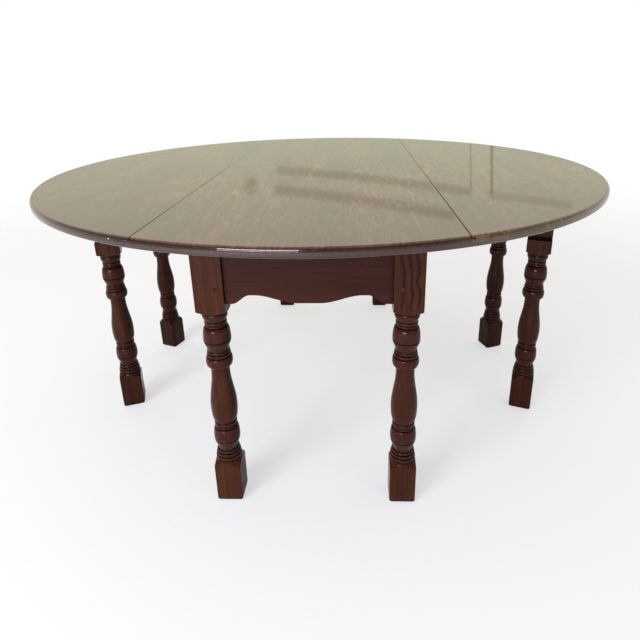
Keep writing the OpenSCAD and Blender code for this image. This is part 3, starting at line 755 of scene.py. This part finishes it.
def leg_mesh(top, notched):
    """Points and faces of a leg about its own axis, in metres, with the notch on its -X side."""
    half = LEG_HALF / MM
    foot = FOOT_HALF / MM
    corner = half * math.sqrt(2) + 0.5
    foot_corner = foot * math.sqrt(2) + 0.5
    angles = leg_angles(notched)
    count = len(angles)
    foot_curve = blend(FOOT_Z, foot_corner, FOOT_SHOULDER_Z, foot - 0.5, 24) + [(NECK_R, FOOT_NECK_Z)]
    block_curve = blend(BLOCK_NECK_Z, BLOCK_NECK_R, BLOCK_Z, corner, 24)
    rings = []
    for z, inset in FOOT_BOTTOM + ((FOOT_FLAT_Z / 2, 0), (FOOT_FLAT_Z, 0)):
        rings.append([(square_radius(a, foot - inset, FOOT_ARRIS), z) for a in angles])
    meets = [inverse(foot_curve, square_radius(a, foot, FOOT_ARRIS)) for a in angles]
    for share in (0.5, 0.85, 1):
        rings.append([(square_radius(a, foot, FOOT_ARRIS), FOOT_FLAT_Z + (m - FOOT_FLAT_Z) * share)
                      for a, m in zip(angles, meets)])
    for share in (0.06, 0.2, 0.4, 0.6, 0.8, 1):
        ring = []
        for a, m in zip(angles, meets):
            z = m + (FOOT_NECK_Z - m) * share
            face = min(radius_at(foot_curve, z), square_radius(a, foot, FOOT_ARRIS))
            ring.append((max(face, NECK_R), z))
        rings.append(ring)
    for radius, z in scribed(SPINDLE):
        rings.append([(radius, z)] * count)
    meets = [inverse(block_curve, square_radius(a, half)) for a in angles]
    for share in (0, 0.25, 0.5, 0.7, 0.85, 0.95, 1):
        ring = []
        for a, m in zip(angles, meets):
            z = BLOCK_NECK_Z + (m - BLOCK_NECK_Z) * share
            ring.append((min(radius_at(block_curve, z), square_radius(a, half)), z))
        rings.append(ring)
    stop = NOTCH_Z if notched else top / MM
    for share in (0.1, 0.5, 1):
        rings.append([(square_radius(a, half), m + (stop - m) * share) for a, m in zip(angles, meets)])
    points = []
    for ring in rings:
        for a, (radius, z) in zip(angles, ring):
            points.append((radius * MM * math.cos(a), radius * MM * math.sin(a), z * MM))
    faces = [list(range(count))]
    for k in range(len(rings) - 1):
        for i in range(count):
            j = (i + 1) % count
            faces.append([k * count + i, k * count + j, (k + 1) * count + j, (k + 1) * count + i])
    last = (len(rings) - 1) * count
    edge = list(range(last, last + count))
    if not notched:
        faces.append(edge)
        return points, faces
    limit = NOTCH_X * MM
    gone = [i for i in edge if points[i][0] <= limit + 1e-6]
    kept = [i for i in edge if points[i][0] >= limit - 1e-6]
    kept.sort(key=lambda i: math.atan2(points[i][1], points[i][0]))
    gone.sort(key=lambda i: math.atan2(points[i][1], points[i][0]) % (2 * math.pi))
    faces.append(gone)
    upper = []
    for i in kept:
        upper.append(len(points))
        points.append((points[i][0], points[i][1], top))
    for k in range(len(kept)):
        n = (k + 1) % len(kept)
        faces.append([kept[k], kept[n], upper[n], upper[k]])
    faces.append(upper)
    return points, faces


def radius_at(curve, z):
    """Radius of a (radius, height) curve at a height."""
    for (r0, z0), (r1, z1) in zip(curve, curve[1:]):
        if z0 <= z <= z1 and z1 > z0:
            return r0 + (r1 - r0) * (z - z0) / (z1 - z0)
    return curve[0][0] if z < curve[0][1] else curve[-1][0]


def make_legs(materials):
    """Four fixed legs and four gate legs, each in its own place."""
    fixed = leg_mesh(UNDER, False)
    gate = leg_mesh(GATE_TOP, True)
    for end, end_sign in ENDS.items():
        for side, side_sign in SIDES.items():
            mirror = Matrix.Diagonal((side_sign, end_sign, 1, 1))
            stand = mirror @ Matrix.Translation((LEG_X, LEG_Y, 0))
            name = f"leg_{end}_{side}"
            place_leg(name, fixed, stand, "frame", materials[name])
            swing = (
                mirror
                @ Matrix.Translation((PIVOT[0], PIVOT[1], 0))
                @ Matrix.Rotation(-GATE_TURN, 4, "Z")
                @ Matrix.Translation((LEG_X - PIVOT[0], GATE_REACH, 0))
            )
            name = f"gate_leg_{end}_{side}"
            place_leg(name, gate, swing, f"gate_{end}_{side}", materials[name])


def place_leg(name, shape, matrix, body, material):
    points, faces = shape
    moved = [tuple(matrix @ Vector(p)) for p in points]
    piece = build(name + "_turned", moved, faces, body, [name], material)
    shade(piece, 32)


# ---------- dressing of the carried-over nodes ----------

def soften(node, width, segments=2):
    """A small bevel on the arrises of a carried-over node."""
    bevel = node.modifiers.new("arris", "BEVEL")
    bevel.width = width
    bevel.segments = segments
    bevel.limit_method = "ANGLE"
    bevel.angle_limit = math.radians(40)
    bevel.harden_normals = False


def dress_nodes():
    """Gives every carried-over node its material, and its wooden rails and blocks a small bevel."""
    brass = metal("old_brass", (0.42, 0.27, 0.10), (0.12, 0.07, 0.03), 0.32)
    steel = metal("dull_steel", (0.32, 0.31, 0.29), (0.09, 0.075, 0.06), 0.38)
    rail_x = oak("rail_oak_across", GRAIN_X, RAIL_COLOURS, 11.0, 0.34, 0.10, streak=0.18, ring=0.08)
    rail_y = oak("rail_oak_along", GRAIN_Y, RAIL_COLOURS, 13.0, 0.34, 0.10, streak=0.18, ring=0.08)
    plain = oak("block_oak_plain", GRAIN_Y, PLAIN_COLOURS, 17.0, 0.6, 0.25)
    peg_colours = [[c * 0.8 for c in colour] for colour in LEG_COLOURS]
    end = oak("peg_oak_end", GRAIN_Z, peg_colours, 19.0, 0.45, 0.15, patch=peg_end)
    for name, node in frame["nodes"].items():
        if "screws" in name and "flap" in name or name.startswith(("centre_flap", "leaf_flap")):
            paint(node, brass)
        elif "screws" in name or "pin_" in name:
            paint(node, steel)
        elif "peg" in name:
            paint(node, end)
        elif name.startswith("fly_rail"):
            side, rear = name.endswith("left"), "rear" in name
            turn = GATE_TURN if side == rear else -GATE_TURN
            paint(node, oak(name + "_oak", (math.radians(90), 0, turn), RAIL_COLOURS, 23.0, 0.34, 0.10))
            soften(node, 1.2 * MM)
        elif name.startswith(("end_apron", "cross")):
            paint(node, rail_x)
            soften(node, 1.2 * MM)
        elif name.startswith("side_rail"):
            paint(node, rail_y)
            soften(node, 1.2 * MM)
        elif name.startswith(("knuckle_block", "top_buttons")) or "stops" in name:
            paint(node, plain)
            soften(node, 0.8 * MM)


def make_pieces():
    """The boards and the legs, each leg with wood of its own, darkened by painted shade for the pairs further
    back.
    """
    top = oak("top_oak_stained", GRAIN_Y, TOP_COLOURS, 3.0, 0.2, 0.14, 0.9, 0.03, streak=0.35, patch=aged_top)
    legs = {}
    seed = 7.0
    for kind in ("leg", "gate_leg"):
        for end in ENDS:
            for side in SIDES:
                name = f"{kind}_{end}_{side}"
                # the leg wood darkened by its pair's painted shade
                tone = LEG_SHADE_TONES[f"{kind}_{end}"]
                colours = [[c * tone for c in colour] for colour in LEG_COLOURS]
                patch = wavy_block if name == "leg_front_right" else turned_wood
                legs[name] = oak(name + "_oak", GRAIN_Z, colours, seed, 0.16, 0.12, crevice=0.012,
                                 streak=0.46, ring=0.08, patch=patch)
                seed += 1.7
    make_centre_board(top)
    make_leaf("left_leaf", "left", top)
    make_leaf("right_leaf", "right", top)
    make_legs(legs)


# ---------- stage ----------

def make_floor():
    """A pale floor that catches soft shadows."""
    bpy.ops.mesh.primitive_plane_add(size=60)
    floor = bpy.context.object
    floor.name = "studio_floor"
    material, g = new_material("pale_floor")
    place = g.add("ShaderNodeTexCoord").outputs["Object"]
    tint = g.ramp(g.noise(place, 0.6, 2, 0.5), [(0.3, (0.82, 0.84, 0.90)), (0.7, (0.84, 0.86, 0.92))])
    near = g.add("ShaderNodeBsdfPrincipled", {
        "Base Color": tint, "Roughness": 0.9, "Specular IOR Level": 0.1,
    }).outputs[0]
    # the far floor fades into the white behind it, as a paper sweep does
    distance = g.add("ShaderNodeVectorMath", {0: place}, operation="LENGTH").outputs["Value"]
    far = g.level(distance, 1.2, 4.5, smooth=True)
    seen = g.add("ShaderNodeLightPath").outputs["Is Camera Ray"]
    share = g.math("MULTIPLY", g.math("ADD", g.math("MULTIPLY", far, 0.45), 0.55), seen)
    white = g.add("ShaderNodeEmission", {"Color": (1, 1, 1, 1), "Strength": 1.0}).outputs[0]
    shader = g.add("ShaderNodeMixShader", {0: share, 1: near, 2: white})
    g.add("ShaderNodeOutputMaterial", {"Surface": shader.outputs[0]})
    paint(floor, material)


# What the polish mirrors of the room behind the table. Each bar runs from one point to another, given
# as the direction's azimuth from +Y and its elevation in degrees, with its half width and strength
BARS = (
    ((-8.9, 9.6), (13.5, 12.1), 0.45, 0.42),
    ((-9.3, 11.8), (11.8, 14.8), 0.55, 0.42),
    ((-12.6, 10.9), (-11.2, 11.6), 0.95, 0.40),
    ((12.9, 6.5), (13.3, 12.0), 0.10, 0.40),
    ((15.1, 6.5), (15.6, 12.4), 0.16, 0.60),
    ((15.2, 12.3), (24.0, 12.9), 0.40, 0.30),
)
BAR_COLOUR = (0.12, 0.065, 0.055)
# the room behind the table and in front of it, near the horizon and higher up
ROOM = ((0.58, 0.60, 0.46), (1.28, 1.20, 1.01))
FRONT = ((0.12, 0.11, 0.12), (0.40, 0.38, 0.40))


def make_world():
    """A white backdrop for the eye, and a soft room behind the table for its polish to mirror."""
    world = bpy.data.worlds.new("studio")
    world.use_nodes = True
    bpy.context.scene.world = world
    g = Graph(world.node_tree)
    way = g.add("ShaderNodeTexCoord").outputs["Generated"]
    parts = g.add("ShaderNodeSeparateXYZ", {0: way}).outputs
    rear = g.level(parts["Y"], -0.5, 0.6, smooth=True)
    high = g.level(parts["Z"], 0.1, 0.55, smooth=True)
    room = g.mix(high, *ROOM)
    front = g.mix(high, *FRONT)
    light = g.mix(rear, front, room)
    azimuth = g.math("DEGREES", g.math("ARCTAN2", parts["X"], parts["Y"]))
    elevation = g.math("DEGREES", g.math("ARCSINE", parts["Z"]))
    for start, end, half, strength in BARS:
        inside = bar(g, azimuth, elevation, start, end, half)
        light = g.mix(g.math("MULTIPLY", inside, strength), light, BAR_COLOUR)
    seen = g.add("ShaderNodeLightPath").outputs["Is Camera Ray"]
    shown = g.mix(seen, light, (1.0, 1.0, 1.0))
    background = g.add("ShaderNodeBackground", {"Color": shown, "Strength": 1.0})
    g.add("ShaderNodeOutputWorld", {"Surface": background.outputs[0]})


def bar(g, azimuth, elevation, start, end, half):
    """1 on a straight bar between two directions, falling softly to 0 at its edges and ends."""
    length = math.hypot(end[0] - start[0], end[1] - start[1])
    across, rise = (end[0] - start[0]) / length, (end[1] - start[1]) / length
    a = g.math("SUBTRACT", azimuth, start[0])
    e = g.math("SUBTRACT", elevation, start[1])
    along = g.math("ADD", g.math("MULTIPLY", a, across), g.math("MULTIPLY", e, rise))
    aside = g.math("ABSOLUTE", g.math("SUBTRACT", g.math("MULTIPLY", e, across), g.math("MULTIPLY", a, rise)))
    beside = g.math("SUBTRACT", 1, g.level(aside, half * 0.4, half * 1.6, smooth=True))
    ends = g.math("MINIMUM", along, g.math("SUBTRACT", length, along))
    return g.math("MULTIPLY", beside, g.level(ends, -0.3, 0.5, smooth=True))


def make_light(name, place, aim, size, power, colour=(1, 1, 1), mirrored=False):
    """A soft light of a size in metres and a power in watts. Polish shows it only if it is mirrored."""
    lamp = bpy.data.lights.new(name, "AREA")
    lamp.shape = "RECTANGLE"
    lamp.size, lamp.size_y = size
    lamp.energy = power
    lamp.color = colour
    lamp_object = bpy.data.objects.new(name, lamp)
    bpy.context.scene.collection.objects.link(lamp_object)
    lamp_object.location = place
    lamp_object.rotation_mode = "QUATERNION"
    lamp_object.rotation_quaternion = (Vector(aim) - Vector(place)).to_track_quat("-Z", "Y")
    lamp_object.visible_camera = False
    lamp_object.visible_glossy = mirrored


def make_lights():
    middle = (0, 0, 0.4)
    make_light("key_front_left", (-2.4, -3.2, 2.6), middle, size=(1.6, 1.6), power=120)
    make_light("window_front", (-1.3, -4.3, 0.85), (0, -0.6, 0.5), size=(2.0, 0.4), power=85,
               colour=(1.0, 0.93, 1.0), mirrored=True)
    make_light("fill_front_right", (3.0, -3.2, 1.6), middle, size=(2.0, 1.6), power=25)


def make_camera():
    """The viewpoint of the photograph, found by fitting the round rim, the joint lines and the feet."""
    yaw, pitch, roll = math.radians(-2.179), math.radians(19.264), math.radians(-0.912)
    focal, middle_x, middle_y = 497.95, 336.0, 253.0
    place = (0.1002, -1.6152, 1.0264)
    camera = bpy.data.cameras.new("camera")
    camera.sensor_width = 36
    camera.lens = focal / IMAGE_SIZE * camera.sensor_width
    camera.shift_x = (IMAGE_SIZE / 2 - middle_x) / IMAGE_SIZE
    camera.shift_y = (middle_y - IMAGE_SIZE / 2) / IMAGE_SIZE
    camera.clip_start, camera.clip_end = 0.05, 100
    camera_object = bpy.data.objects.new("camera", camera)
    bpy.context.scene.collection.objects.link(camera_object)
    ahead = Vector((math.sin(yaw) * math.cos(pitch), math.cos(yaw) * math.cos(pitch), -math.sin(pitch)))
    right = Vector((math.cos(yaw), -math.sin(yaw), 0))
    up = right.cross(ahead)
    right_rolled = right * math.cos(roll) + up * math.sin(roll)
    up_rolled = up * math.cos(roll) - right * math.sin(roll)
    turn = Matrix((right_rolled, up_rolled, -ahead)).transposed()
    camera_object.matrix_world = Matrix.Translation(place) @ turn.to_4x4()
    bpy.context.scene.camera = camera_object


make_camera()
dress_nodes()
make_pieces()
make_floor()
make_world()
make_lights()
bpy.context.scene.view_settings.view_transform = "Standard"
